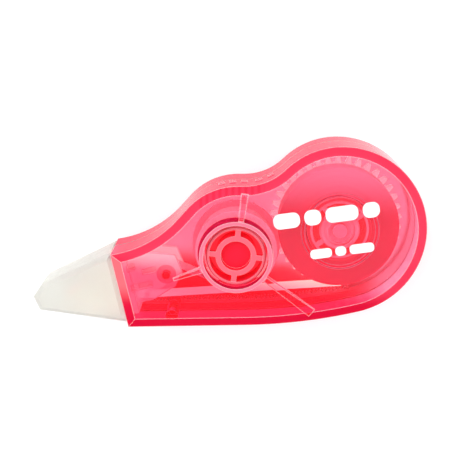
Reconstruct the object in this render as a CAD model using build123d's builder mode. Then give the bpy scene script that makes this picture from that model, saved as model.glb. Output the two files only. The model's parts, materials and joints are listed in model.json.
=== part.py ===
"""Mini correction tape roller lying on its back shell.

Millimetres. The origin is on the supply reel's axis, at the flat outside face of the back shell.
+Z runs through the casing's thickness towards the knob, -X towards the applicator, +Y towards
the thumb grip.
"""

import os
from math import asin, atan2, cos, degrees, hypot, pi, radians, sin, tan

from build123d import *

os.makedirs("parts", exist_ok=True)

# ---- casing -------------------------------------------------------------------------------
FACE_Z = 14.0            # outside of the front face
PARTING_Z = 6.2          # where the two shells meet
SKIN = 1.2               # thickness of the two flat faces
WALL = 1.5               # thickness of the side wall
BEVEL_IN = 1.85          # bevel round each flat face, measured across the face
BEVEL_DEEP = 0.5         # and through the thickness
CEILING_Z = FACE_Z - SKIN
BIG_END_R = 17.5         # round end, about the supply axis
SHOULDER_R = 15.9        # the round end's upper left, tangent at its top
SWEEP_START = 8.6        # slope of the upper edge where it leaves the mouth, degrees
SWEEP_R = 23.3
SWEEP_ARC = 39.7
RAMP = 3.1
BUMP_R = 13.7
LEVEL = 1.2              # level stretch between the bump and the valley
MOUTH_TOP = (-46.9, -5.0)
MOUTH_BOTTOM = (-43.55, -20.6)
BASE_END = (-19.0, -20.05)
PARTING_GAP = 0.03       # between the two shells' rims
LIP_H = 0.8              # lip of the back shell that the front shell fits over
LIP_W = 0.65
LIP_ROOT = 0.6           # how far the lip reaches down behind the back shell's wall
FIT = 0.05               # clearance of parts that push together
PAD_R = 2.8              # pads that keep the gears off the floor
PAD_H = 0.4

# ---- gears and reels ----------------------------------------------------------------------
MODULE = 0.7
DRIVE_TEETH = 38
TAKE_UP_TEETH = 24
PRESSURE_ANGLE = radians(20)
BACKLASH = 0.12          # taken off each tooth's thickness
GEAR_Z = 1.7
GEAR_H = 1.6
AXES_ANGLE = 193.0       # direction from the supply axis to the take-up axis, degrees
AXES_APART = MODULE * (DRIVE_TEETH + TAKE_UP_TEETH) / 2
TAKE_UP = (AXES_APART * cos(radians(AXES_ANGLE)), AXES_APART * sin(radians(AXES_ANGLE)))
POST_R = 1.5
POST_GAP = 0.06
POST_TOP_Z = 12.6        # top of the supply post, in the front shell's socket
TAKE_UP_POST_TOP_Z = 11.7
SOCKET_R = 2.4
SOCKET_DEEP = 0.75       # how far the socket hangs below the front face's inside
TAPE_W = 5.0
TAPE_Z = 4.3             # rear edge of the tape
TAPE_T = 0.12            # tape and carrier, thicker than the real film so that it stays solid
ROLL_R = 12.5            # outside of the full supply roll
ROLL_CORE_R = 6.6
CARRIER_CORE_R = 7.85
CARRIER_R = 8.15         # outside of the used carrier on the take-up reel

# ---- knob and boss ------------------------------------------------------------------------
BOSS_R = 7.45
BOSS_FLARE = 0.15        # the boss is this much wider where it meets the front face
BOSS_BORE_R = 6.65
BOSS_Z = 15.8
BOSS_ROOT = 0.6          # how far the boss hangs below the front face's inside
KNOB_R = 6.15
KNOB_Z = 14.5
KNOB_DISC = 1.2          # thickness of the slotted disc
KNOB_SINK = 0.1          # how far the slotted disc lies below the knob's rim
KNOB_CHAMFER = 0.3
DRUM_WALL = 1.0          # wall of the take-up reel's drum
SLOT_INNER_R = 4.15
SLOT_OUTER_R = 5.5
SPOKE_W = 1.05
SPOKE_TURN = -5          # the four spokes stand this far off the axes, degrees
DISH_R = 3.1
DISH_FLOOR_Z = 12.6
BUTTRESSES = ((82, 12.9, 1.4), (202, 13.8, 0.6), (322, 19.9, 1.9))   # angle, reach, end width
BUTTRESS_W = 1.1
FIN_ROOT = 0.3           # how far a buttress runs into the boss
FIN_EDGE = 0.15          # its height at its low end, and its step down from the boss's top
STEADY_RING = (7.9, 7.2, 0.8)   # ring under the front face: outside, inside, depth

# ---- nose ---------------------------------------------------------------------------------
NOSE = Plane(
    origin=((MOUTH_TOP[0] + MOUTH_BOTTOM[0]) / 2, (MOUTH_TOP[1] + MOUTH_BOTTOM[1]) / 2, 0),
    x_dir=(MOUTH_TOP[1] - MOUTH_BOTTOM[1], MOUTH_BOTTOM[0] - MOUTH_TOP[0], 0),
    z_dir=(0, 0, 1),
)                        # x runs into the casing, y up the mouth
CAP_WALL = 0.85
CAP_GAP = 0.15           # between the cap's rim and the casing
CAP_OUTLINE = ((-CAP_GAP, 8.0), (-15.9, 4.2), (-18.5, 1.8), (-17.9, -1.3), (-CAP_GAP, -7.4))
CAP_MOUTH_Z = (1.1, 12.7)
CAP_TIP_Z = (2.2, 11.8)
CAP_BEVEL = 1.0
CAP_RIM_CUT = 2.7        # the part of the cap's hollow that is straight, at its rim
CAP_RIM_W = 12.9
SPIGOT_X = (-3.2, 2.6)
SPIGOT_Y = (-6.1, 5.7)
SPIGOT_Z = (2.75, 11.25)
SPIGOT_WALL = 0.75
MOUTH_GAP = 0.1          # between the spigot and the opening in the mouth
CHEEK_T = 0.8
CHEEK_GAP = 0.2          # between a cheek and the tape's edge
CHEEK_END_X = 11.8       # the cheeks reach back past the guide roller's axis
WINDOWS = (((3.0, 3.7), 1.6, 1.5), ((6.5, 2.2), 2.9, 1.3), ((4.3, -0.7), 4.6, 1.3))
BLADE_TIP = (-11.6, 0.2)
BLADE_TIP_R = 0.45
BLADE_ROOT_X = 2.6
LOWER_BAR = (4.8, -3.1)  # bar that the fresh tape passes under
LOWER_BAR_R = 0.5
GUIDE = (-35.7, -10.0)   # axis of the guide roller
GUIDE_R = 2.0
GUIDE_PIN_R = 0.9
GUIDE_PIN_TOP_Z = 11.0

# ---- details ------------------------------------------------------------------------------
PEG = (-34.5, -18.3)     # peg that joins the shells by the mouth's lower corner
PEG_R = 0.75
PEG_H = 2.5
PEG_BOSS_R = 1.3
GRIP = (1.3, 0.6, 0.6)   # one grip ridge: along the edge, across it and through the thickness
GRIP_Z = 8.7
TOOTH_PITCH = 0.7        # serration along the inside of the back shell's lower edge
TOOTH_Z = 2.7
FENCE_START = 0.1        # share of the base line left plain by the mouth
FENCE_SHARE = 0.9        # share of each edge's length that sets its number of teeth
FENCE_BACK = 1.35        # the fence's back, roots and tips, inwards from the casing's outline
FENCE_ROOT = 2.05
FENCE_TIP = 2.6


# ---- shared shapes ------------------------------------------------------------------------
def case_edges():
    """The casing's outline: nine tangent stretches from the mouth's top to its bottom, and the mouth."""
    slope = radians(SWEEP_START)
    sweep = JernArc(MOUTH_TOP, (cos(slope), sin(slope)), radius=SWEEP_R, arc_size=SWEEP_ARC)
    ramp = Line(sweep @ 1, sweep @ 1 + RAMP * (sweep % 1))
    bump = JernArc(ramp @ 1, ramp % 1, radius=BUMP_R, arc_size=-SWEEP_START - SWEEP_ARC)
    level = Line(bump @ 1, bump @ 1 + LEVEL * (bump % 1))
    # The valley is tangent to the level stretch and to the shoulder.
    drop = BIG_END_R - SHOULDER_R
    x, y = (level @ 1).X, (level @ 1).Y - drop
    valley_r = (x * x + y * y - SHOULDER_R**2) / (2 * (SHOULDER_R - y))
    reach = SHOULDER_R / (SHOULDER_R + valley_r)
    crest = (x * reach, (y + valley_r) * reach + drop)
    valley = TangentArc(level @ 1, crest, tangent=level % 1)
    top = (0, BIG_END_R)
    shoulder = TangentArc(crest, top, tangent=valley % 1)
    # The belly leaves the base line tangentially and meets the round end tangentially too.
    along = atan2(BASE_END[1] - MOUTH_BOTTOM[1], BASE_END[0] - MOUTH_BOTTOM[0])
    rise = BASE_END[1] * cos(along) - BASE_END[0] * sin(along)
    belly_r = (BIG_END_R**2 - BASE_END[0] ** 2 - BASE_END[1] ** 2) / (2 * (rise + BIG_END_R))
    belly_x = BASE_END[0] - belly_r * sin(along)
    belly_y = BASE_END[1] + belly_r * cos(along)
    out = BIG_END_R / hypot(belly_x, belly_y)
    heel = (-belly_x * out, -belly_y * out)
    round_end = ThreePointArc(top, (BIG_END_R, 0), heel)
    belly = TangentArc(BASE_END, heel, tangent=(cos(along), sin(along)))
    base = Line(MOUTH_BOTTOM, BASE_END)
    mouth = Line(MOUTH_BOTTOM, MOUTH_TOP)
    return [sweep, ramp, bump, level, valley, shoulder, round_end, belly, base, mouth]


CASE_EDGES = case_edges()
BUMP, VALLEY, BELLY, BASE = CASE_EDGES[2], CASE_EDGES[4], CASE_EDGES[7], CASE_EDGES[8]
GRIPS = [(BUMP, 0.70), (BUMP, 0.90), (VALLEY, 0.0), (VALLEY, 0.33), (VALLEY, 0.61)]


def case_outline(inset, plane):
    """The casing's outline on a plane, moved inwards by inset."""
    with BuildSketch(plane) as outline:
        with BuildLine():
            add(CASE_EDGES)
        make_face()
        if inset:
            offset(amount=-inset, kind=Kind.INTERSECTION)
    return outline.sketch


def involute_gear(teeth, tooth_angle, plane):
    """Outline of an involute gear with one tooth centred on tooth_angle, in degrees."""
    pitch_r = MODULE * teeth / 2
    base_r = pitch_r * cos(PRESSURE_ANGLE)
    tip_r = pitch_r + MODULE * 0.95
    root_r = pitch_r - MODULE * 1.25
    half = (pi * MODULE / 2 - BACKLASH) / 2 / pitch_r + tan(PRESSURE_ANGLE) - PRESSURE_ANGLE
    points = []
    for tooth in range(teeth):
        centre = radians(tooth_angle) + tooth * 2 * pi / teeth
        flank = []
        for step in range(5):
            r = base_r + (tip_r - base_r) * step / 4
            roll = (r * r - base_r * base_r) ** 0.5 / base_r
            flank.append((r, half - (roll - atan2(roll, 1))))
        right = [(root_r, half)] + flank
        for r, a in right:
            points.append((r * cos(centre - a), r * sin(centre - a)))
        for r, a in reversed(right):
            points.append((r * cos(centre + a), r * sin(centre + a)))
    with BuildSketch(plane) as gear:
        with BuildLine():
            Polyline(*points, close=True)
        make_face()
    return gear.sketch


def slotted_disc(plane, outer_r, slot_outer_r, height, turn):
    """A disc with four ring slots, which leave four spokes between its hub and its rim."""
    with BuildPart() as disc:
        with BuildSketch(plane):
            Circle(outer_r)
        extrude(amount=height)
        with BuildSketch(plane):
            Circle(slot_outer_r)
            Circle(SLOT_INNER_R, mode=Mode.SUBTRACT)
            with PolarLocations(0, 4, start_angle=turn):
                with Locations((outer_r / 2, 0)):
                    Rectangle(outer_r, SPOKE_W, mode=Mode.SUBTRACT)
        extrude(amount=height, mode=Mode.SUBTRACT)
    return disc.part


def nose_block(inset, bevel=0.0):
    """The cap's outside shape, moved inwards by inset: a flat wedge that narrows to the tip."""
    side = Plane(origin=NOSE.origin, x_dir=NOSE.x_dir, z_dir=-NOSE.y_dir)
    low, high = CAP_MOUTH_Z[0] + inset, CAP_MOUTH_Z[1] - inset
    tip_low, tip_high = CAP_TIP_Z[0] + inset, CAP_TIP_Z[1] - inset
    tip_x = CAP_OUTLINE[2][0]
    with BuildPart() as block:
        with BuildSketch(NOSE):
            with BuildLine():
                Polyline(*CAP_OUTLINE, close=True)
            make_face()
            if inset:
                offset(amount=-inset, kind=Kind.INTERSECTION)
        extrude(amount=FACE_Z)
        with BuildSketch(side):
            with BuildLine():
                Polyline(
                    (-CAP_GAP, low), (tip_x, tip_low), (tip_x, tip_high), (-CAP_GAP, high),
                    close=True,
                )
            make_face()
        extrude(amount=BIG_END_R, both=True, mode=Mode.INTERSECT)
        if bevel:
            caps = block.faces().sort_by(Axis.Z)
            chamfer((caps[0].edges() + caps[-1].edges()), bevel)
    return block.part


def ring(plane, outer_r, inner_r=0.0, *centres):
    """A ring, or a disc, drawn on a plane at each of the centres."""
    with BuildSketch(plane) as flat:
        with Locations(*(centres or [(0, 0)])):
            Circle(outer_r)
            if inner_r:
                Circle(inner_r, mode=Mode.SUBTRACT)
    return flat.sketch


def shell_body(face_z, inner_z):
    """One half of the casing: a bevelled flat face at face_z and a side wall to the parting."""
    up = 1 if face_z > inner_z else -1
    edge_z = face_z - up * BEVEL_DEEP
    rim_z = PARTING_Z + PARTING_GAP if up > 0 else PARTING_Z
    with BuildPart() as shell:
        with BuildSketch(Plane.XY.offset(rim_z)):
            add(case_outline(0, Plane.XY))
        extrude(amount=edge_z - rim_z)
        loft(
            [
                case_outline(0, Plane.XY.offset(edge_z)).face(),
                case_outline(BEVEL_IN, Plane.XY.offset(face_z)).face(),
            ],
            ruled=True,
        )
        with BuildSketch(Plane.XY.offset(rim_z)):
            add(case_outline(WALL, Plane.XY))
        extrude(amount=inner_z - rim_z, mode=Mode.SUBTRACT)
    return shell.part


def mouth_hole():
    """The space that the spigot takes in the mouth's wall, with its gap."""
    with BuildPart() as hole:
        with BuildSketch(NOSE.offset(SPIGOT_Z[0] - MOUTH_GAP)):
            with Locations((0, (SPIGOT_Y[0] + SPIGOT_Y[1]) / 2)):
                Rectangle(4 * WALL, SPIGOT_Y[1] - SPIGOT_Y[0] + 2 * MOUTH_GAP)
        extrude(amount=SPIGOT_Z[1] - SPIGOT_Z[0] + 2 * MOUTH_GAP)
    return hole.part


def buttress(angle, reach, end_width):
    """A fin on the front face that falls from the boss to the face's edge."""
    origin = (TAKE_UP[0], TAKE_UP[1], FACE_Z)
    out = (cos(radians(angle)), sin(radians(angle)), 0)
    flat = Plane(origin=origin, x_dir=out, z_dir=(0, 0, 1))
    side = Plane(origin=origin, x_dir=out, z_dir=(out[1], -out[0], 0))
    start = BOSS_R - FIN_ROOT
    with BuildPart() as fin:
        with BuildSketch(flat.offset(-SKIN / 2)):
            with BuildLine():
                Polyline(
                    (start, BUTTRESS_W / 2), (reach, end_width / 2),
                    (reach, -end_width / 2), (start, -BUTTRESS_W / 2), close=True,
                )
            make_face()
        extrude(amount=BOSS_Z - FACE_Z + SKIN)
        with BuildSketch(side):
            with BuildLine():
                Polyline(
                    (start, -SKIN / 2), (start, BOSS_Z - FACE_Z - FIN_EDGE),
                    (reach, FIN_EDGE), (reach, -SKIN / 2), close=True,
                )
            make_face()
        extrude(amount=end_width, both=True, mode=Mode.INTERSECT)
    return fin.part


def serration():
    """A low toothed fence that follows the base and the belly on the back shell's floor."""
    outer, inner = [], []
    for edge in (BASE, BELLY):
        # The fence starts clear of the mouth on the base, and stops before the belly's end.
        start = FENCE_START if edge is BASE else 0.0
        count = int(edge.length * FENCE_SHARE / TOOTH_PITCH)
        for tooth in range(count):
            for step, depth in ((0.0, FENCE_ROOT), (0.5, FENCE_TIP)):
                u = start + (1 - start) * (tooth + step) / count
                point, along = edge @ u, edge % u
                inner.append((point.X - along.Y * depth, point.Y + along.X * depth))
                outer.append((point.X - along.Y * FENCE_BACK, point.Y + along.X * FENCE_BACK))
    with BuildSketch(Plane.XY.offset(SKIN / 2)) as fence:
        with BuildLine():
            Polyline(*inner, *reversed(outer), close=True)
        make_face()
    return fence.sketch


# ---- casing -------------------------------------------------------------------------------
with BuildPart() as back_shell:
    add(shell_body(0, SKIN))
    # Lip that the front shell fits over.
    with BuildSketch(Plane.XY.offset(PARTING_Z - LIP_ROOT)):
        add(case_outline(WALL - LIP_W, Plane.XY))
        add(case_outline(WALL + 0.01, Plane.XY), mode=Mode.SUBTRACT)
    extrude(amount=LIP_ROOT + LIP_H)
    # Posts of the two reels, on low pads that keep the gears off the floor.
    add(ring(Plane.XY.offset(SKIN / 2), PAD_R, 0, (0, 0), TAKE_UP))
    extrude(amount=SKIN / 2 + PAD_H)
    add(ring(Plane.XY.offset(SKIN / 2), POST_R, 0, (0, 0)))
    extrude(amount=POST_TOP_Z - SKIN / 2)
    add(ring(Plane.XY.offset(SKIN / 2), POST_R, 0, TAKE_UP))
    extrude(amount=TAKE_UP_POST_TOP_Z - SKIN / 2)
    add(ring(Plane.XY.offset(SKIN / 2), GUIDE_PIN_R, 0, GUIDE))
    extrude(amount=GUIDE_PIN_TOP_Z - SKIN / 2)
    add(ring(Plane.XY.offset(SKIN / 2), PEG_BOSS_R, 0, PEG))
    extrude(amount=PARTING_Z - SKIN / 2)
    add(ring(Plane.XY.offset(PARTING_Z - 1), PEG_R, 0, PEG))
    extrude(amount=1 + PEG_H)
    add(serration())
    extrude(amount=TOOTH_Z - SKIN / 2)
    add(mouth_hole(), mode=Mode.SUBTRACT)

with BuildPart() as front_shell:
    add(shell_body(FACE_Z, CEILING_Z))
    # Rebate for the back shell's lip.
    with BuildSketch(Plane.XY.offset(PARTING_Z)):
        add(case_outline(WALL - LIP_W - FIT, Plane.XY))
    extrude(amount=LIP_H + FIT, mode=Mode.SUBTRACT)
    # Boss round the knob, with its bore and three buttresses.
    add(ring(Plane.XY.offset(CEILING_Z - BOSS_ROOT), BOSS_R, 0, TAKE_UP))
    extrude(amount=BOSS_Z - CEILING_Z + BOSS_ROOT)
    add(ring(Plane.XY.offset(FACE_Z), BOSS_R + BOSS_FLARE, 0, TAKE_UP))
    extrude(amount=BOSS_Z - FACE_Z, taper=degrees(atan2(BOSS_FLARE, BOSS_Z - FACE_Z)))
    for angle, reach, end_width in BUTTRESSES:
        add(buttress(angle, reach, end_width))
    add(ring(Plane.XY.offset(CEILING_Z - SKIN), BOSS_BORE_R, 0, TAKE_UP))
    extrude(amount=BOSS_Z, mode=Mode.SUBTRACT)
    # Ring that steadies the supply reel, and the socket of its post.
    add(ring(Plane.XY.offset(CEILING_Z + SKIN / 4), *STEADY_RING[:2], (0, 0)))
    extrude(amount=-SKIN / 4 - STEADY_RING[2])
    add(ring(Plane.XY.offset(CEILING_Z + SKIN / 4), SOCKET_R, POST_R + FIT, (0, 0)))
    extrude(amount=-SKIN / 4 - SOCKET_DEEP)
    add(ring(Plane.XY.offset(POST_TOP_Z + FIT), SOCKET_R, 0, (0, 0)))
    extrude(amount=CEILING_Z - POST_TOP_Z)
    # Socket of the peg.
    add(ring(Plane.XY.offset(CEILING_Z + SKIN / 4), PEG_BOSS_R, 0, PEG))
    extrude(amount=PARTING_Z + LIP_H + FIT - CEILING_Z - SKIN / 4)
    add(ring(Plane.XY.offset(PARTING_Z), PEG_R + FIT, 0, PEG))
    extrude(amount=PEG_H + 0.2, mode=Mode.SUBTRACT)
    # Grip ridges in the thumb valley.
    with BuildSketch(Plane.XY.offset(GRIP_Z)):
        for edge, place in GRIPS:
            along = edge % place
            with Locations(Location(edge @ place, (0, 0, degrees(atan2(along.Y, along.X))))):
                Rectangle(*GRIP[:2])
    extrude(amount=GRIP[2])
    add(mouth_hole(), mode=Mode.SUBTRACT)

# ---- cap ----------------------------------------------------------------------------------
with BuildPart() as cap:
    add(nose_block(0, CAP_BEVEL))
    add(nose_block(CAP_WALL), mode=Mode.SUBTRACT)
    # The hollow runs out through the cap's rim.
    with BuildSketch(NOSE.offset(CAP_MOUTH_Z[0] + CAP_WALL)):
        with Locations((-CAP_RIM_CUT / 2, 0)):
            Rectangle(CAP_RIM_CUT, CAP_RIM_W)
    extrude(amount=CAP_MOUTH_Z[1] - CAP_MOUTH_Z[0] - 2 * CAP_WALL, mode=Mode.SUBTRACT)

# ---- applicator head ----------------------------------------------------------------------
def on_nose(x, y):
    """A point of the nose's own plane, in the casing's XY."""
    point = NOSE.from_local_coords(Vector(x, y, 0))
    return (point.X, point.Y)


def off_nose(point):
    """A point of the casing's XY, in the nose's own plane."""
    local = NOSE.to_local_coords(Vector(point[0], point[1], 0))
    return (local.X, local.Y)


def straight(start, start_r, end, end_r):
    """The straight run of tape from one round guide to the next.

    A radius is positive where the guide lies to the left of the tape's travel, and negative
    where it lies to the right.
    """
    across, up = end[0] - start[0], end[1] - start[1]
    heading = atan2(up, across) - asin((end_r - start_r) / hypot(across, up))
    left = (-sin(heading), cos(heading))
    return [
        (start[0] - start_r * left[0], start[1] - start_r * left[1]),
        (end[0] - end_r * left[0], end[1] - end_r * left[1]),
    ]


def arc_round(centre, start, end):
    """The short arc round a centre from one point to another."""
    radius = hypot(start[0] - centre[0], start[1] - centre[1])
    across, up = start[0] + end[0] - 2 * centre[0], start[1] + end[1] - 2 * centre[1]
    scale = radius / hypot(across, up)
    return ThreePointArc(start, (centre[0] + across * scale, centre[1] + up * scale), end)


TAPE_OFF = 0.03 + TAPE_T / 2            # from a guide's surface to the middle of the tape
TIP = on_nose(*BLADE_TIP)
BAR = on_nose(*LOWER_BAR)
TO_BAR = straight((0, 0), -(ROLL_R + TAPE_OFF), BAR, -(LOWER_BAR_R + TAPE_OFF))
TO_TIP = straight(BAR, -(LOWER_BAR_R + TAPE_OFF), TIP, -(BLADE_TIP_R + TAPE_OFF))
TO_GUIDE = straight(TIP, -(BLADE_TIP_R + TAPE_OFF), GUIDE, -(GUIDE_R + TAPE_OFF))
TO_TAKE_UP = straight(GUIDE, -(GUIDE_R + TAPE_OFF), TAKE_UP, CARRIER_R + TAPE_OFF)
TIP_FRONT = on_nose(BLADE_TIP[0] - BLADE_TIP_R - TAPE_OFF, BLADE_TIP[1])

with BuildPart() as applicator_head:
    # Sleeve that sits in the mouth and carries the cap.
    for inset, mode in ((0, Mode.ADD), (SPIGOT_WALL, Mode.SUBTRACT)):
        with BuildSketch(NOSE.offset(SPIGOT_Z[0] + inset)):
            with BuildLine():
                Polyline(
                    (SPIGOT_X[0], SPIGOT_Y[0] + 1.3 + inset), (0.5, SPIGOT_Y[0] + inset),
                    (SPIGOT_X[1], SPIGOT_Y[0] + inset), (SPIGOT_X[1], SPIGOT_Y[1] - inset),
                    (0.5, SPIGOT_Y[1] - inset), (SPIGOT_X[0], SPIGOT_Y[1] - 0.7 - inset),
                    close=True,
                )
            make_face()
        extrude(amount=SPIGOT_Z[1] - SPIGOT_Z[0] - 2 * inset, mode=mode)
    # Two cheeks beside the tape, from behind the guide roller to the tip.
    for cheek_z in (TAPE_Z - CHEEK_GAP - CHEEK_T, TAPE_Z + TAPE_W + CHEEK_GAP):
        with BuildSketch(NOSE.offset(cheek_z)):
            with BuildLine():
                Polyline(
                    (BLADE_TIP[0] + 1.9, -0.75), (BLADE_TIP[0] + 1.9, 1.25), (SPIGOT_X[0], 3.6),
                    (1.5, SPIGOT_Y[1] - 0.3), (7.5, 6.0), (CHEEK_END_X + 0.8, 4.4),
                    (CHEEK_END_X + 1.5, 0.4), (CHEEK_END_X - 0.6, -2.2), (7.5, -3.6),
                    (6.2, -4.1), (1.5, -4.1), (0.5, SPIGOT_Y[0] + 0.4), (SPIGOT_X[0], -4.7),
                    close=True,
                )
            make_face()
        extrude(amount=CHEEK_T)
    # Windows in the front cheek, and the roller's hole in both.
    with BuildSketch(NOSE.offset(TAPE_Z + TAPE_W)):
        for centre, width, height in WINDOWS:
            with Locations(centre):
                RectangleRounded(width, height, 0.3)
    extrude(amount=FACE_Z - TAPE_Z - TAPE_W, mode=Mode.SUBTRACT)
    with BuildSketch(Plane.XY.offset(TAPE_Z - 2)):
        with Locations(GUIDE):
            Circle(GUIDE_PIN_R + POST_GAP)
    extrude(amount=TAPE_W + 4, mode=Mode.SUBTRACT)
    # Blade that presses the tape on, and the bar that steers the fresh tape.
    with BuildSketch(NOSE.offset(TAPE_Z - CHEEK_GAP - CHEEK_T / 2)):
        with BuildLine():
            high = straight(TIP, -BLADE_TIP_R, GUIDE, -GUIDE_R)
            low = straight(BAR, -LOWER_BAR_R, TIP, -BLADE_TIP_R)
            top_out, top_in = off_nose(high[0]), off_nose(high[1])
            low_in, low_out = off_nose(low[0]), off_nose(low[1])
            top_share = (BLADE_ROOT_X - top_out[0]) / (top_in[0] - top_out[0])
            low_share = (BLADE_ROOT_X - low_out[0]) / (low_in[0] - low_out[0])
            root_high = (BLADE_ROOT_X, top_out[1] + top_share * (top_in[1] - top_out[1]) - 0.05)
            root_low = (BLADE_ROOT_X, low_out[1] + low_share * (low_in[1] - low_out[1]) + 0.05)
            Line(top_out, root_high)
            Line(root_high, root_low)
            Line(root_low, low_out)
            ThreePointArc(low_out, (BLADE_TIP[0] - BLADE_TIP_R, BLADE_TIP[1]), top_out)
        make_face()
        with Locations(LOWER_BAR):
            Circle(LOWER_BAR_R)
    extrude(amount=TAPE_W + 2 * CHEEK_GAP + CHEEK_T)

with BuildPart() as guide_roller:
    with BuildSketch(Plane.XY.offset(TAPE_Z - 0.1)):
        with Locations(GUIDE):
            Circle(GUIDE_R)
            Circle(GUIDE_PIN_R + POST_GAP, mode=Mode.SUBTRACT)
    extrude(amount=TAPE_W + 0.2)

# ---- supply reel --------------------------------------------------------------------------
HUB_R = 2.9
HUB_TOP_Z = 11.2
CAP_PLUG = 0.8           # how far the retaining cap plugs into the gear's hub
CAP_PLUG_R = 2.4
WEB_Z = 10.2             # rear of the core's slotted web
WEB_R = 6.0
GEAR_HOLES = (9.0, 2.3)  # the drive gear's six holes: circle and radius
RING_GRIP = (5.6, 3.6, 0.3)     # friction ring: outside, inside, thickness
FLANGE = (9.6, 0.5)      # supply core's flange: radius and thickness
FLANGE_HOLES = (8.0, 0.7)
with BuildPart() as drive_gear:
    with BuildSketch(Plane.XY.offset(GEAR_Z)):
        add(involute_gear(DRIVE_TEETH, AXES_ANGLE, Plane.XY))
        with PolarLocations(GEAR_HOLES[0], 6, start_angle=SPOKE_TURN):
            Circle(GEAR_HOLES[1], mode=Mode.SUBTRACT)
    extrude(amount=GEAR_H)
    with BuildSketch(Plane.XY.offset(GEAR_Z)):
        Circle(HUB_R)
    extrude(amount=HUB_TOP_Z - GEAR_Z)
    with BuildSketch(Plane.XY.offset(GEAR_Z)):
        Circle(POST_R + POST_GAP)
    extrude(amount=HUB_TOP_Z - GEAR_Z, mode=Mode.SUBTRACT)
    # Counterbore for the retaining cap.
    with BuildSketch(Plane.XY.offset(HUB_TOP_Z - CAP_PLUG)):
        Circle(CAP_PLUG_R)
    extrude(amount=CAP_PLUG, mode=Mode.SUBTRACT)

RING_Z = GEAR_Z + GEAR_H
with BuildPart() as friction_ring:
    with BuildSketch(Plane.XY.offset(RING_Z + 0.02)):
        Circle(RING_GRIP[0])
        Circle(RING_GRIP[1], mode=Mode.SUBTRACT)
    extrude(amount=RING_GRIP[2])

CORE_Z = RING_Z + RING_GRIP[2] + 0.05   # rear face of the supply core's flange
CORE_TOP_Z = WEB_Z + 0.7
with BuildPart() as supply_core:
    with BuildSketch(Plane.XY.offset(CORE_Z)):
        Circle(FLANGE[0])
        with PolarLocations(FLANGE_HOLES[0], 12):
            Circle(FLANGE_HOLES[1], mode=Mode.SUBTRACT)
    extrude(amount=FLANGE[1])
    with BuildSketch(Plane.XY.offset(CORE_Z)):
        Circle(ROLL_CORE_R)
        Circle(SLOT_OUTER_R + 0.25, mode=Mode.SUBTRACT)
    extrude(amount=CORE_TOP_Z - CORE_Z)
    add(slotted_disc(Plane.XY.offset(WEB_Z), WEB_R, SLOT_OUTER_R, KNOB_DISC, SPOKE_TURN + 40))
    # Sleeve that turns on the drive gear's hub.
    with BuildSketch(Plane.XY.offset(CORE_Z)):
        Circle(SLOT_INNER_R)
    extrude(amount=WEB_Z + KNOB_DISC - 0.2 - CORE_Z)
    with BuildSketch(Plane.XY.offset(CORE_Z)):
        Circle(HUB_R + POST_GAP)
    extrude(amount=FACE_Z, mode=Mode.SUBTRACT)

CAP_Z = WEB_Z + KNOB_DISC + 0.05
CAP_R = 4.0
CAP_H = 0.6
with BuildPart() as hub_cap:
    with BuildSketch(Plane.XY.offset(CAP_Z)):
        Circle(CAP_R)
    extrude(amount=CAP_H)
    chamfer(hub_cap.faces().sort_by(Axis.Z)[-1].edges(), 0.15)
    with BuildSketch(Plane.XY.offset(CAP_Z + CAP_H / 2)):
        Circle(DISH_R)
    extrude(amount=CAP_H, mode=Mode.SUBTRACT)
    with BuildSketch(Plane.XY.offset(HUB_TOP_Z - CAP_PLUG)):
        Circle(CAP_PLUG_R)
    extrude(amount=CAP_Z + 0.1 - HUB_TOP_Z + CAP_PLUG)
    with BuildSketch(Plane.XY.offset(GEAR_Z)):
        Circle(POST_R + 2 * POST_GAP)
    extrude(amount=FACE_Z, mode=Mode.SUBTRACT)

with BuildPart() as tape_roll:
    with BuildSketch(Plane.XY.offset(TAPE_Z)):
        Circle(ROLL_R)
        Circle(ROLL_CORE_R + 0.01, mode=Mode.SUBTRACT)
    extrude(amount=TAPE_W)

# ---- take-up reel -------------------------------------------------------------------------
TAKE_UP_PLANE = Plane.XY.move(Location((TAKE_UP[0], TAKE_UP[1], 0)))
STEM_TOP_Z = 12.0
STEM_R = 2.6
REAR_FLANGE = (9.3, 3.45, 4.1)  # radius, and from and to in height: it covers the gear's teeth
FRONT_FLANGE = (8.5, TAPE_Z + TAPE_W + 0.2, 0.6)
with BuildPart() as take_up_reel:
    with BuildSketch(TAKE_UP_PLANE.offset(GEAR_Z)):
        add(involute_gear(TAKE_UP_TEETH, AXES_ANGLE + 180 + 180 / TAKE_UP_TEETH, Plane.XY))
    extrude(amount=GEAR_H)
    with BuildSketch(TAKE_UP_PLANE.offset(GEAR_Z + GEAR_H)):
        Circle(CARRIER_CORE_R)
        Circle(CARRIER_CORE_R - DRUM_WALL, mode=Mode.SUBTRACT)
    extrude(amount=FRONT_FLANGE[1] - GEAR_Z - GEAR_H)
    with BuildSketch(TAKE_UP_PLANE.offset(REAR_FLANGE[1])):
        Circle(REAR_FLANGE[0])
        Circle(CARRIER_CORE_R - DRUM_WALL, mode=Mode.SUBTRACT)
    extrude(amount=REAR_FLANGE[2] - REAR_FLANGE[1])
    with BuildSketch(TAKE_UP_PLANE.offset(FRONT_FLANGE[1])):
        Circle(FRONT_FLANGE[0])
    extrude(amount=FRONT_FLANGE[2])
    with BuildSketch(TAKE_UP_PLANE.offset(GEAR_Z)):
        Circle(STEM_R)
    extrude(amount=STEM_TOP_Z - 0.3 - GEAR_Z)
    with BuildSketch(TAKE_UP_PLANE.offset(GEAR_Z)):
        Circle(POST_R + POST_GAP)
    extrude(amount=FACE_Z, mode=Mode.SUBTRACT)

with BuildPart() as take_up_tape:
    with BuildSketch(TAKE_UP_PLANE.offset(TAPE_Z)):
        Circle(CARRIER_R)
        Circle(CARRIER_CORE_R + 0.01, mode=Mode.SUBTRACT)
    extrude(amount=TAPE_W)

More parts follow.
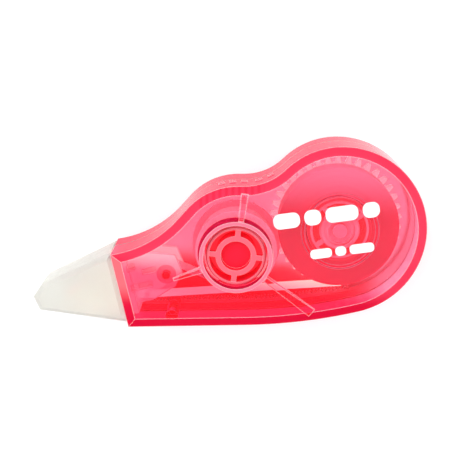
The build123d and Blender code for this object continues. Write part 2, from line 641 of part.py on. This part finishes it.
KNOB_FOOT_Z = FRONT_FLANGE[1] + FRONT_FLANGE[2] + 0.02
with BuildPart() as take_up_knob:
    # Skirt that stands on the reel, and the slotted disc that closes it.
    with BuildSketch(TAKE_UP_PLANE.offset(KNOB_FOOT_Z)):
        Circle(KNOB_R)
        Circle(SLOT_OUTER_R, mode=Mode.SUBTRACT)
    extrude(amount=KNOB_Z - KNOB_FOOT_Z)
    rims = take_up_knob.edges().filter_by(GeomType.CIRCLE).group_by(Axis.Z)[-1]
    chamfer(rims.sort_by(SortBy.RADIUS)[-1], KNOB_CHAMFER)
    add(slotted_disc(TAKE_UP_PLANE.offset(KNOB_Z - KNOB_DISC), SLOT_OUTER_R + 0.2, SLOT_OUTER_R,
                     KNOB_DISC - KNOB_SINK, SPOKE_TURN))
    # Stem that plugs onto the reel's hub, with a dish in its top.
    with BuildSketch(TAKE_UP_PLANE.offset(KNOB_FOOT_Z)):
        Circle(SLOT_INNER_R)
    extrude(amount=KNOB_Z - KNOB_SINK - KNOB_FOOT_Z)
    with BuildSketch(TAKE_UP_PLANE.offset(DISH_FLOOR_Z)):
        Circle(DISH_R)
    extrude(amount=KNOB_Z - DISH_FLOOR_Z, mode=Mode.SUBTRACT)
    with BuildSketch(TAKE_UP_PLANE.offset(KNOB_FOOT_Z)):
        Circle(STEM_R)
    extrude(amount=STEM_TOP_Z - KNOB_FOOT_Z, mode=Mode.SUBTRACT)

# ---- tape between the reels ---------------------------------------------------------------
with BuildPart() as tape_supply_run:
    with BuildSketch(Plane.XY.offset(TAPE_Z)):
        with BuildLine():
            Line(*TO_BAR)
            arc_round(BAR, TO_BAR[1], TO_TIP[0])
            Line(*TO_TIP)
            arc_round(TIP, TO_TIP[1], TIP_FRONT)
        trace(line_width=TAPE_T)
    extrude(amount=TAPE_W)

with BuildPart() as tape_return_run:
    with BuildSketch(Plane.XY.offset(TAPE_Z)):
        with BuildLine():
            arc_round(TIP, TIP_FRONT, TO_GUIDE[0])
            Line(*TO_GUIDE)
            arc_round(GUIDE, TO_GUIDE[1], TO_TAKE_UP[0])
            Line(*TO_TAKE_UP)
        trace(line_width=TAPE_T)
    extrude(amount=TAPE_W)

NODES = {
    "back_shell": back_shell,
    "front_shell": front_shell,
    "cap": cap,
    "applicator_head": applicator_head,
    "guide_roller": guide_roller,
    "drive_gear": drive_gear,
    "friction_ring": friction_ring,
    "supply_core": supply_core,
    "hub_cap": hub_cap,
    "tape_roll": tape_roll,
    "take_up_reel": take_up_reel,
    "take_up_tape": take_up_tape,
    "take_up_knob": take_up_knob,
    "tape_supply_run": tape_supply_run,
    "tape_return_run": tape_return_run,
}
for name, piece in NODES.items():
    piece.part.label = name
    export_step(piece.part, f"parts/{name}.step")
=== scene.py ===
"""Correction tape roller: materials, printed mark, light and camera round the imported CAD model."""

import json
import math

import bmesh
import bpy
from mathutils import Matrix, Vector


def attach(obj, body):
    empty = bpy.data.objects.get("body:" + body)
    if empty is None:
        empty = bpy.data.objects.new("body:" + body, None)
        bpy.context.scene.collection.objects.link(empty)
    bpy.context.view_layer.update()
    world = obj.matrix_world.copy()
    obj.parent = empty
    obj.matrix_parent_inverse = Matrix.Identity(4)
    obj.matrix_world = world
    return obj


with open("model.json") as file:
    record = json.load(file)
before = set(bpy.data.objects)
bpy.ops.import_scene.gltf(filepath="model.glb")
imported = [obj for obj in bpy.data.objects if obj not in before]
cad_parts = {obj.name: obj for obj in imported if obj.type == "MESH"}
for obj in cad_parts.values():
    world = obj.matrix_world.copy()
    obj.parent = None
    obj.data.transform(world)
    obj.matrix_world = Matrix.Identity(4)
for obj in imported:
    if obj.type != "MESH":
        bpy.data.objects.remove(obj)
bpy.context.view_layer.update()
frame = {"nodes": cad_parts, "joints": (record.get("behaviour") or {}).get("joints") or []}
NODES = frame["nodes"]
MM = 0.001

# ---- places: the joints' read from the frame, the rest given ------------------------------
FACE_Z = 14.0 * MM
SUPPLY = Vector((0.0, 0.0))
JOINTS = {joint["name"]: joint for joint in frame["joints"]}
TAKE_UP = Vector(JOINTS["take_up_spin"]["pos_m"][:2])
GUIDE = Vector(JOINTS["guide_spin"]["pos_m"][:2])
NOSE_AXIS = tuple(JOINTS["cap_slide"]["axis"])
MOUTH_AT = 46.9 * MM      # the mouth's place along the cap's axis
MOUTH_X = -43.5 * MM      # the front of the casing's edge round the mouth
MOUTH_Y = (-16.0 * MM, -11.0 * MM)
PARTING_Z = 6.215 * MM    # where the two shells meet
SEAM_HALF = (0.45 * MM, 0.25 * MM)
MIDDLE = (-15.0 * MM, -3.0 * MM, 0.0)
LEAN = 0.15               # painted shade: the shells' colours are deepest where y + LEAN x is below LOW_END and lightest above HIGH_END
LOW_END = -15.5 * MM
HIGH_END = -10.5 * MM
ROOT_SHADE_CENTRE = (TAKE_UP.x - 0.15 * MM, TAKE_UP.y + 0.34 * MM)
ROOT_SHADE_R = 7.72 * MM        # the disc inside which the boss's root gets painted shade, seen from above
ROOT_SHADE_RISE = 1.3 * MM
FENCE_Z = (1.25 * MM, 2.74 * MM)
RIB_STEP = 1.3 * MM       # ribs under the thumb grip
RIBS_X = (-28.0 * MM, -16.0 * MM)
RIB_STRENGTH = 0.5
LEVEL = (1.0, 1.0, 0.0)   # what a vector is multiplied by to lay it level


# ---- material helpers ---------------------------------------------------------------------
class Nodes:
    """A new node material, with short calls to add nodes and to link them."""

    def __init__(self, name):
        self.material = bpy.data.materials.new(name)
        self.material.use_nodes = True
        self.tree = self.material.node_tree
        self.tree.nodes.clear()
        self.output = self.add("ShaderNodeOutputMaterial")

    def add(self, kind, **inputs):
        node = self.tree.nodes.new(kind)
        for key, value in inputs.items():
            node.inputs[key.replace("_", " ")].default_value = value
        return node

    def link(self, source, target):
        self.tree.links.new(source, target)

    def noise(self, scale, detail=3.0, roughness=0.5):
        """Noise in object space; scale is in waves per metre."""
        noise = self.add("ShaderNodeTexNoise", Scale=scale, Detail=detail, Roughness=roughness)
        self.link(self.place(), noise.inputs["Vector"])
        return noise.outputs["Fac"]

    def ramp(self, source, low, high):
        """source from 0 to 1 mapped to a value from low to high."""
        span = self.add("ShaderNodeMapRange")
        span.inputs["To Min"].default_value = low
        span.inputs["To Max"].default_value = high
        self.link(source, span.inputs["Value"])
        return span.outputs["Result"]

    def bump(self, height, depth, strength):
        bump = self.add("ShaderNodeBump", Strength=strength, Distance=depth)
        self.link(height, bump.inputs["Height"])
        return bump.outputs["Normal"]

    def fill(self, socket, value):
        """Gives an input a value, or links another node's output to it."""
        if isinstance(value, bpy.types.NodeSocket):
            self.link(value, socket)
        else:
            socket.default_value = value

    def maths(self, operation, *values):
        """A sum on one to three numbers, each a value or a socket."""
        node = self.add("ShaderNodeMath")
        node.operation = operation
        for socket, value in zip(node.inputs, values):
            self.fill(socket, value)
        return node.outputs["Value"]

    def vectors(self, operation, *values, output="Vector"):
        """A sum on one or two vectors, each a value or a socket."""
        node = self.add("ShaderNodeVectorMath")
        node.operation = operation
        for socket, value in zip(node.inputs, values):
            self.fill(socket, value)
        return node.outputs[output]

    def place(self, kind="Object"):
        """Object coordinates, or with kind Normal the object normal."""
        return self.add("ShaderNodeTexCoord").outputs[kind]

    def parts(self, vector):
        """The X, Y and Z of a vector."""
        split = self.add("ShaderNodeSeparateXYZ")
        self.link(vector, split.inputs["Vector"])
        return split.outputs

    def principled(self, **inputs):
        shader = self.add("ShaderNodeBsdfPrincipled", **inputs)
        self.link(shader.outputs["BSDF"], self.output.inputs["Surface"])
        return shader


def over(made, source, low, high):
    """0 where a length is below low, 1 where it is above high, and smooth between."""
    step = made.add("ShaderNodeMapRange")
    step.interpolation_type = "SMOOTHSTEP"
    step.inputs["From Min"].default_value = low
    step.inputs["From Max"].default_value = high
    made.link(source, step.inputs["Value"])
    return step.outputs["Result"]


def lerp(made, factor, first, second):
    """A value that goes from first to second as factor goes from 0 to 1."""
    mix = made.add("ShaderNodeMix")
    made.link(factor, mix.inputs["Factor"])
    made.fill(mix.inputs[2], first)
    made.fill(mix.inputs[3], second)
    return mix.outputs[0]


def blend(made, factor, first, second):
    """A colour that goes from first to second as factor goes from 0 to 1."""
    mix = made.add("ShaderNodeMix")
    mix.data_type = "RGBA"
    made.link(factor, mix.inputs["Factor"])
    made.fill(mix.inputs[6], first)
    made.fill(mix.inputs[7], second)
    return mix.outputs[2]


def all_of(made, *masks):
    """1 where every mask is 1."""
    product = masks[0]
    for mask in masks[1:]:
        product = made.maths("MULTIPLY", product, mask)
    return product


def between(made, source, low, high, soft):
    """1 where a length lies between low and high, and 0 further than soft outside them."""
    return all_of(made, over(made, source, low - soft, low), over(made, source, high + soft, high))


def steepness(made):
    """1 on level faces, 0 on upright walls: the height of the object normal, up or down."""
    return made.maths("ABSOLUTE", made.parts(made.place("Normal"))["Z"])


def leaning(made, spot):
    """How far up and along the casing a point lies: y + LEAN x."""
    return made.maths("MULTIPLY_ADD", spot["X"], LEAN, spot["Y"])


def far_from(made, centre):
    """Distance from an axis along Z, in object space."""
    arm = made.vectors("SUBTRACT", made.place(), (centre[0], centre[1], 0.0))
    return made.vectors("LENGTH", made.vectors("MULTIPLY", arm, LEVEL), output="Value")


def within(made, centre, radius, soft=0.1 * MM):
    """1 nearer than radius to an axis along Z, with a soft rim inside it."""
    return over(made, far_from(made, centre), radius, radius - soft)


def outward(made):
    """1 on walls that face away from the casing's middle, 0 on those that face it."""
    arm = made.vectors("MULTIPLY", made.vectors("SUBTRACT", made.place(), MIDDLE), LEVEL)
    agree = made.vectors("DOT_PRODUCT", arm, made.place("Normal"), output="Value")
    return over(made, agree, -0.2 * MM, 0.2 * MM)


def parting_line(made, spot):
    """1 close to the height where the two shells meet."""
    off = made.maths("ABSOLUTE", made.maths("SUBTRACT", spot["Z"], PARTING_Z))
    return over(made, off, *SEAM_HALF)


def upper_mouth(made, spot):
    """1 on the upper half of the edge round the mouth."""
    forward = made.parts(made.place("Normal"))["X"]
    return all_of(made, over(made, forward, -0.10, -0.16),
                over(made, spot["X"], MOUTH_X + 1.0 * MM, MOUTH_X),
                over(made, spot["Y"], *MOUTH_Y))


def grip_ribs(made, spot):
    """Up to RIB_STRENGTH on the ribs under the thumb grip, and 0 elsewhere."""
    turn = made.maths("MULTIPLY", spot["X"], 2 * math.pi / RIB_STEP)
    rib = over(made, made.maths("SINE", turn), -0.6, 0.8)
    span = between(made, spot["X"], *RIBS_X, 1.0 * MM)
    ribs = all_of(made, rib, span, over(made, spot["Y"], 0.0, 1.0 * MM))
    return made.ramp(ribs, 0.0, RIB_STRENGTH)


def shell_zones(made, light, deep, edge, low_edge, side):
    """Colour of a shell: painted light on its upper half, painted shade low down, deeper on bevels and
    sides.

    Also returns 1 on its flat faces, buttresses and inner walls, and 0 on its bevels and sides.
    """
    spot = made.parts(made.place())
    level = steepness(made)
    # painted light and shade: colours go from deep low down to light higher up, on faces, sides and bevels
    # alike
    upper = over(made, leaning(made, spot), LOW_END, HIGH_END)
    body = blend(made, upper, deep, light)
    sides = blend(made, parting_line(made, spot), blend(made, upper, deep, side), SEAM)
    outside = outward(made)
    sides = blend(made, outside, body, sides)
    bevels = blend(made, upper, low_edge, edge)
    bevels = blend(made, upper_mouth(made, spot), bevels, MOUTH_PINK)
    bevels = blend(made, grip_ribs(made, spot), bevels, low_edge)
    bevelled = blend(made, over(made, level, 0.45, 0.75), sides, bevels)
    proud = over(made, spot["Z"], FACE_Z, FACE_Z + 0.02 * MM)
    flat = made.maths("MAXIMUM", over(made, level, 0.975, 0.99), proud)
    inside = made.maths("SUBTRACT", 1.0, outside)
    return blend(made, flat, bevelled, body), made.maths("MAXIMUM", flat, inside)


def standing(low_z, high_z, around=None):
    """A mask of what stands above a height, near an axis if around gives one with its radius."""
    def mask(made):
        above = over(made, made.parts(made.place())["Z"], low_z, high_z)
        return all_of(made, above, within(made, *around)) if around else above
    return mask


def shaded_walls_lit_tops(wall, top):
    """Painted shade and light: a darker colour for upright walls and a lighter one for upper faces."""
    return lambda made: blend(made, over(made, steepness(made), 0.3, 0.7), wall, top)


def near(centre, radius, soft=0.1 * MM):
    """A mask of what lies near an axis."""
    return lambda made: within(made, centre, radius, soft)


def within_casing(made):
    """1 for what lies inside the casing's mouth, 0 outside it."""
    along = made.vectors("DOT_PRODUCT", made.place(), NOSE_AXIS, output="Value")
    return over(made, along, MOUTH_AT + 0.5 * MM, MOUTH_AT - 1.0 * MM)


def boss_root_shade(made):
    """Painted shade: 1 low on the boss and close round its upper side, a dark crescent where its wall
    shows through the face.
    """
    spot = made.parts(made.place())
    return all_of(made, over(made, spot["Z"], FACE_Z - 0.05 * MM, FACE_Z - 0.01 * MM),
                over(made, spot["Z"], FACE_Z + ROOT_SHADE_RISE, FACE_Z + ROOT_SHADE_RISE - 0.1 * MM),
                within(made, ROOT_SHADE_CENTRE, ROOT_SHADE_R))


def in_fence(made):
    """1 on the toothed fence along the lower edge's inside."""
    spot = made.parts(made.place())
    return all_of(made, between(made, spot["Z"], *FENCE_Z, 0.04 * MM),
                over(made, leaning(made, spot), LOW_END + 1.0 * MM, LOW_END))


def edge_mask(made, corner):
    """1 on the rounded corners of a moulding and 0 on its faces."""
    true_normal = made.add("ShaderNodeNewGeometry").outputs["Normal"]
    agree = made.vectors("DOT_PRODUCT", corner.outputs["Normal"], true_normal, output="Value")
    return over(made, agree, 0.9993, 0.993)


def laid_over(made, shown, weight, mask, colour, clear=None):
    """Lays a colour, and how clear it is if clear is given, over a look where mask is 1."""
    where = mask(made)
    shown = blend(made, where, shown, colour(made) if callable(colour) else colour)
    return shown, weight if clear is None else lerp(made, where, weight, clear)


def clear_plastic(name, colour, clear, ior, roughness=0.03, waves=0.01 * MM, patches=(), edges=None,
                  over_edges=(), painted_glow=None, outside=None, passed=None, per_metre=0.0, glow=0.0):
    """Clear moulded plastic, faintly wavy on its faces.

    colour is one colour or the five of a shell's zones. patches and over_edges are places with a
    colour and a clearness of their own, and edges is the rounding of the corners with theirs, a
    painted highlight or painted shade along them. The thickness absorbs light, and a red emission in
    the volume adds a painted glow. shine is a painted glow on the surface, an emission standing in
    for light, and outside is the same where it is out of the casing.
    """
    made = Nodes(name)
    shader = made.principled(IOR=ior, Specular_IOR_Level=0.1)
    shown, weight = colour, clear
    if isinstance(colour[0], tuple):
        shown, flat = shell_zones(made, *colour)
        weight = lerp(made, flat, SIDE_CLEAR, clear)
    for patch in patches:
        shown, weight = laid_over(made, shown, weight, *patch)
    surface = made.add("ShaderNodeBump", Strength=1.0, Distance=waves)
    made.link(made.noise(WAVES_PER_METRE, 2.0), surface.inputs["Height"])
    if edges:
        corner = made.add("ShaderNodeBevel", Radius=edges[0])
        corner.samples = 4
        made.link(corner.outputs["Normal"], surface.inputs["Normal"])
        # painted highlight or painted shade along the rounded corners, in the edges' colour
        shown, weight = laid_over(made, shown, weight, lambda made: edge_mask(made, corner), *edges[1:])
    for patch in over_edges:
        shown, weight = laid_over(made, shown, weight, *patch)
    made.link(surface.outputs["Normal"], shader.inputs["Normal"])
    made.fill(shader.inputs["Transmission Weight"], weight)
    made.fill(shader.inputs["Base Color"], shown)
    # painted glow: surface emission on parts that are no lamps
    if painted_glow:
        emitted, strength = painted_glow
        if outside:
            housed = within_casing(made)
            emitted = blend(made, housed, outside[0], painted_glow[0])
            strength = made.ramp(housed, outside[1], painted_glow[1])
        made.fill(shader.inputs["Emission Color"], emitted)
        made.fill(shader.inputs["Emission Strength"], strength)
    made.link(made.ramp(made.noise(900), roughness * 0.6, roughness * 1.6), shader.inputs["Roughness"])
    if per_metre:
        depth = made.add("ShaderNodeVolumeAbsorption", Color=passed, Density=per_metre).outputs["Volume"]
        # painted glow: a red emission inside the volume, standing in for light
        if glow:
            red_glow = made.add("ShaderNodeEmission", Color=PAINTED_GLOW_RED, Strength=glow)
            sum_of_both = made.add("ShaderNodeAddShader")
            made.link(depth, sum_of_both.inputs[0])
            made.link(red_glow.outputs["Emission"], sum_of_both.inputs[1])
            depth = sum_of_both.outputs["Shader"]
        made.link(depth, made.output.inputs["Volume"])
    return made.material


def moulded(name, colour, darker, roughness, **inputs):
    """Solid moulded plastic with a faint mottling and a fine satin grain."""
    made = Nodes(name)
    shader = made.principled(Roughness=roughness, IOR=1.5, **inputs)
    made.link(blend(made, made.noise(250), colour, darker), shader.inputs["Base Color"])
    made.link(made.bump(made.noise(5000, 2.0), 0.01 * MM, 0.4), shader.inputs["Normal"])
    made.link(made.ramp(made.noise(1200), roughness * 0.8, roughness * 1.25), shader.inputs["Roughness"])
    return made.material


def wound_film(name, colour, darker, centre, turns_per_metre, low=None, core_shade=None):
    """Edges of film wound round a centre: fine rings, with wider bands where it was wound tighter.

    low is the colour of its lower half, a painted shade, and core a radius and the colour inside it, a
    painted shade at the core.
    """
    made = Nodes(name)
    rings = made.add("ShaderNodeTexNoise", Scale=turns_per_metre, Detail=4.0, Roughness=0.7)
    rings.noise_dimensions = "1D"
    made.link(far_from(made, centre), rings.inputs["W"])
    shader = made.principled(Roughness=0.38, IOR=1.5)
    wound = blend(made, rings.outputs["Fac"], colour, darker)
    if low:
        wound = blend(made, over(made, made.parts(made.place())["Y"], *ROLL_SHADE_FADE), low, wound)
    if core_shade:
        wound = blend(made, within(made, centre, core_shade[0], 0.06 * MM), wound, core_shade[1])
    made.link(wound, shader.inputs["Base Color"])
    made.link(made.bump(rings.outputs["Fac"], 0.06 * MM, 0.5), shader.inputs["Normal"])
    return made.material


# ---- materials ----------------------------------------------------------------------------
WHITE_LIGHT = (1.0, 1.0, 1.0, 1)
PINK_PASSED = (1.0, 0.0, 0.42, 1)
# the red of a painted glow added as emission inside the clear plastics
PAINTED_GLOW_RED = (1.0, 0.012, 0.06, 1)
MOUTH_PINK = (1.0, 0.16, 0.19, 1)
# bevel colours: one for higher up, and a painted-shade copy for low down
BEVEL_PINK = (0.80, 0.042, 0.10, 1)
LOW_BEVEL_SHADE = (0.65, 0.004, 0.04, 1)
SIDE_PINK = (0.84, 0.020, 0.085, 1)
SEAM = (0.30, 0.015, 0.05, 1)
# zones: light (painted light, upper half), deep (painted shade, low down), upper bevel, lower bevel
# (painted shade), side
FRONT_ZONES = ((1.0, 0.84, 0.91, 1), (1.0, 0.22, 0.40, 1), BEVEL_PINK, LOW_BEVEL_SHADE, SIDE_PINK)
BACK_ZONES = ((1.0, 0.86, 0.95, 1), (1.0, 0.03, 0.12, 1), BEVEL_PINK, LOW_BEVEL_SHADE, SIDE_PINK)
# painted highlight along rounded corners of the clear parts, and painted shade along those of the natural
# parts
EDGE_HIGHLIGHT = (1.0, 0.68, 0.76, 1)
EDGE_SHADE = (0.95, 0.30, 0.38, 1)
# painted shade for the knob's slots and the reel under the knob
RECESS_SHADE_RED = (1.0, 0.015, 0.06, 1)
SHADE_POOL = (-11.0 * MM, -14.5 * MM)    # painted shade pooled between the two reels, low on the back shell
SIDE_CLEAR = 0.15
WAVES_PER_METRE = 160
# heights along y over which the roll's painted shade fades out
ROLL_SHADE_FADE = (1.0 * MM, 13.0 * MM)

front_clear = clear_plastic(
    "front_clear", FRONT_ZONES, 0.985, 1.25,
    # painted shade on the boss's upright walls and painted light on its top
    patches=[(standing(14.02 * MM, 14.1 * MM, (TAKE_UP, 7.7 * MM)),
              shaded_walls_lit_tops((0.52, 0.005, 0.07, 1), (1.0, 0.22, 0.32, 1)), 0.2)],
    # painted shade: a dark crescent round the boss's root
    edges=(0.22 * MM, EDGE_HIGHLIGHT, 0.3), over_edges=[(boss_root_shade, (0.60, 0.010, 0.065, 1), 0.2)],
    passed=PINK_PASSED, per_metre=210.0, glow=40.0)
back_clear = clear_plastic(
    "back_clear", BACK_ZONES, 0.6, 1.25,
    # painted shade in a pool between the two reels
    patches=[(near(SHADE_POOL, 5.0 * MM, 3.0 * MM), (1.0, 0.05, 0.15, 1)),
             (in_fence, (1.0, 0.38, 0.46, 1), 0.3)],
    edges=(0.16 * MM, EDGE_HIGHLIGHT, 0.5), passed=PINK_PASSED, per_metre=190.0, glow=60.0)
# painted shade: deep red below the knob's top, with painted shade on its upper walls and painted light on
# its top faces
knob_clear = clear_plastic(
    "knob_clear", RECESS_SHADE_RED, 0.3, 1.4,
    patches=[(standing(13.5 * MM, 14.0 * MM),
              shaded_walls_lit_tops((1.0, 0.08, 0.16, 1), (1.0, 0.20, 0.28, 1)), 0.35)],
    edges=(0.12 * MM, EDGE_HIGHLIGHT, 0.4), passed=PINK_PASSED, per_metre=200.0, glow=30.0)
# a painted glow on the surface, and painted shade along rounded corners
natural = clear_plastic(
    "natural", (1.0, 0.92, 0.92, 1), 0.6, 1.3, 0.35,
    edges=(0.10 * MM, EDGE_SHADE, 0.3), painted_glow=((1.0, 0.50, 0.46, 1), 0.22))
# painted shade: deep below the flange and under the knob; the flange's walls get painted shade and its top
# faces painted light; a red painted glow on the surface
reel_natural = clear_plastic(
    "reel_natural", (1.0, 0.40, 0.48, 1), 0.5, 1.3, 0.35,
    patches=[(standing(9.3 * MM, 9.4 * MM),
              shaded_walls_lit_tops((1.0, 0.5, 0.56, 1), (1.0, 0.95, 0.97, 1)), 0.4),
             (near(TAKE_UP, 6.5 * MM), RECESS_SHADE_RED)],
    painted_glow=((1.0, 0.10, 0.16, 1), 0.2))
# painted shade: deep red below the hub's top, where upright walls get painted shade and top faces painted
# light; painted shade along rounded corners; a red painted glow
hub_natural = clear_plastic(
    "hub_natural", (1.0, 0.05, 0.10, 1), 0.3, 1.3, 0.35,
    patches=[(standing(10.9 * MM, 11.1 * MM),
              shaded_walls_lit_tops((1.0, 0.20, 0.26, 1), (1.0, 0.56, 0.62, 1)), 0.3)],
    edges=(0.10 * MM, EDGE_SHADE, 0.3), painted_glow=((1.0, 0.05, 0.10, 1), 0.2))
# painted shade along rounded corners, and a painted glow on the surface, weaker and greenish out of the
# casing
head_natural = clear_plastic(
    "head_natural", (0.97, 0.95, 0.90, 1), 0.7, 1.2, 0.15,
    patches=[(near(GUIDE, 2.1 * MM), (1.0, 0.22, 0.32, 1))], edges=(0.16 * MM, (0.80, 0.10, 0.18, 1), 0.3),
    painted_glow=((1.0, 0.70, 0.68, 1), 0.20), outside=((0.80, 0.95, 0.88, 1), 0.08))
cap_frosted = clear_plastic(
    "cap_frosted", (0.95, 0.95, 0.92, 1), 0.8, 1.35, 0.38, 0.02 * MM,
    passed=(0.92, 0.90, 0.84, 1), per_metre=40.0)
ring_rubber = moulded("ring_rubber", (0.5, 0.03, 0.05, 1), (0.4, 0.02, 0.04, 1), 0.6)
# painted shade: a darker lower half and a dark ring at the core, in the roll's own coordinates, so it
# turns with the roll
roll_red = wound_film("roll_red", (0.95, 0.50, 0.60, 1), (0.85, 0.34, 0.44, 1), SUPPLY, 900.0,
                      (0.86, 0.018, 0.07, 1), (6.85 * MM, (0.45, 0.01, 0.04, 1)))
carrier = wound_film("carrier", (0.95, 0.75, 0.75, 1), (0.85, 0.60, 0.62, 1), TAKE_UP, 1500.0)
# painted glow: the film's emission stands in for light; it is no lamp
white_film = moulded("white_film", (1.0, 0.92, 0.91, 1), (0.96, 0.86, 0.86, 1), 0.5,
                     Transmission_Weight=0.3, Emission_Color=(1, 0.80, 0.60, 1), Emission_Strength=0.5)
ink_white = moulded("ink_white", (0.93, 0.93, 0.93, 1), (0.88, 0.88, 0.88, 1), 0.35)

LOOKS = {
    "front_shell": front_clear,
    "back_shell": back_clear,
    "take_up_knob": knob_clear,
    "cap": cap_frosted,
    "applicator_head": head_natural,
    "guide_roller": natural,
    "drive_gear": natural,
    "hub_cap": hub_natural,
    "supply_core": hub_natural,
    "take_up_reel": reel_natural,
    "friction_ring": ring_rubber,
    "tape_roll": roll_red,
    "take_up_tape": carrier,
    "tape_supply_run": white_film,
    "tape_return_run": carrier,
}
for node_name, look in LOOKS.items():
    for material_slot in NODES[node_name].material_slots:
        material_slot.material = look


# ---- printed mark -------------------------------------------------------------------------
INK_LOW = FACE_Z + 0.01 * MM
INK_HIGH = FACE_Z + 0.05 * MM
MARK_TURN = 8.0                          # degrees
CORNER_SHARE = 0.42                      # of a dash's height
LONG_ROW = ((5.4, 0.9), (3.4, 0.9), (6.6, 0.9), (3.4, 0.0))    # each dash and the gap after it, mm
SHORT_ROW = ((4.4, 0.7), (2.2, 0.7), (5.0, 0.0))


def dashes(row_y, start_x, height, row):
    """Outlines of a row of rounded dashes in millimetres, turned about the origin."""
    turning = Matrix.Rotation(math.radians(MARK_TURN), 2)
    corner = height * CORNER_SHARE
    loops = []
    x = start_x
    for width, gap in row:
        loop = []
        for quarter, (sx, sy) in enumerate(((1, 1), (-1, 1), (-1, -1), (1, -1))):
            for step in range(7):
                angle = math.radians(90 * quarter + 15 * step)
                loop.append(turning @ Vector((
                    x + width / 2 + sx * (width / 2 - corner) + corner * math.cos(angle),
                    row_y + sy * (height / 2 - corner) + corner * math.sin(angle),
                )))
        loops.append(loop)
        x += width + gap
    return loops


def printed(name, loops, material):
    """A thin printed layer on the front face: one plate for each loop."""
    mesh = bpy.data.meshes.new(name)
    bm = bmesh.new()
    for loop in loops:
        low = [bm.verts.new((p.x * MM, p.y * MM, INK_LOW)) for p in loop]
        high = [bm.verts.new((p.x * MM, p.y * MM, INK_HIGH)) for p in loop]
        bm.faces.new(high)
        bm.faces.new(list(reversed(low)))
        for i in range(len(loop)):
            j = (i + 1) % len(loop)
            bm.faces.new((low[i], low[j], high[j], high[i]))
    bm.to_mesh(mesh)
    bm.free()
    mesh.materials.append(material)
    piece = bpy.data.objects.new(name, mesh)
    bpy.context.scene.collection.objects.link(piece)
    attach(piece, "casing")


mark = dashes(3.9, -13.2, 3.2, LONG_ROW) + dashes(-3.8, -6.6, 2.0, SHORT_ROW)
printed("printed_mark", mark, ink_white)

# ---- floor, light and camera --------------------------------------------------------------
REACH = 12.0
FLOOR_DROP = 0.2 * MM
CORNERS = ((-1, -1), (1, -1), (1, 1), (-1, 1))
floor_mesh = bpy.data.meshes.new("floor")
floor_mesh.from_pydata([(REACH * x, REACH * y, 0) for x, y in CORNERS], [], [(0, 1, 2, 3)])
floor_mesh.materials.append(
    moulded("floor_white", (0.8, 0.8, 0.8, 1), (0.79, 0.79, 0.79, 1), 0.9,
            Emission_Color=WHITE_LIGHT, Emission_Strength=0.35)
)
floor = bpy.data.objects.new("floor", floor_mesh)
floor.location.z = -FLOOR_DROP
scene = bpy.context.scene
scene.collection.objects.link(floor)

world = bpy.data.worlds.new("studio")
world.use_nodes = True
background = world.node_tree.nodes["Background"]
background.inputs["Color"].default_value = WHITE_LIGHT
background.inputs["Strength"].default_value = 0.8
scene.world = world

ROLLER_MIDDLE = Vector((-0.022, 0.0, 0.008))


def softbox(name, place, size, power):
    """A square area light that faces the roller."""
    data = bpy.data.lights.new(name, "AREA")
    data.size = size
    data.energy = power
    light = bpy.data.objects.new(name, data)
    light.location = place
    light.rotation_euler = (ROLLER_MIDDLE - Vector(place)).to_track_quat("-Z", "Y").to_euler()
    scene.collection.objects.link(light)


softbox("key", (-0.25, 0.30, 0.45), 0.30, 1.8)
softbox("fill", (0.35, -0.10, 0.40), 0.30, 0.6)

EYE = Vector((-19.77, 48.70, 201.2)) * MM
AIM = Vector((-22.77, 0.70, 13.2)) * MM
camera_data = bpy.data.cameras.new("camera")
camera_data.lens = 75.47
camera_data.sensor_width = 36.0
camera_data.clip_start = 0.01
camera = bpy.data.objects.new("camera", camera_data)
back = (EYE - AIM).normalized()
right = Vector((0, 1, 0)).cross(back).normalized()
turned = Matrix((right, back.cross(right), back)).transposed()
camera.matrix_world = Matrix.Translation(EYE) @ turned.to_4x4()
scene.collection.objects.link(camera)
scene.camera = camera

scene.view_settings.view_transform = "Standard"
scene.cycles.use_denoising = True
scene.cycles.max_bounces = 32
scene.cycles.transmission_bounces = 32
scene.cycles.transparent_max_bounces = 32
scene.cycles.diffuse_bounces = 6
scene.cycles.glossy_bounces = 8
scene.cycles.caustics_reflective = True
scene.cycles.caustics_refractive = True
scene.cycles.blur_glossy = 0.5
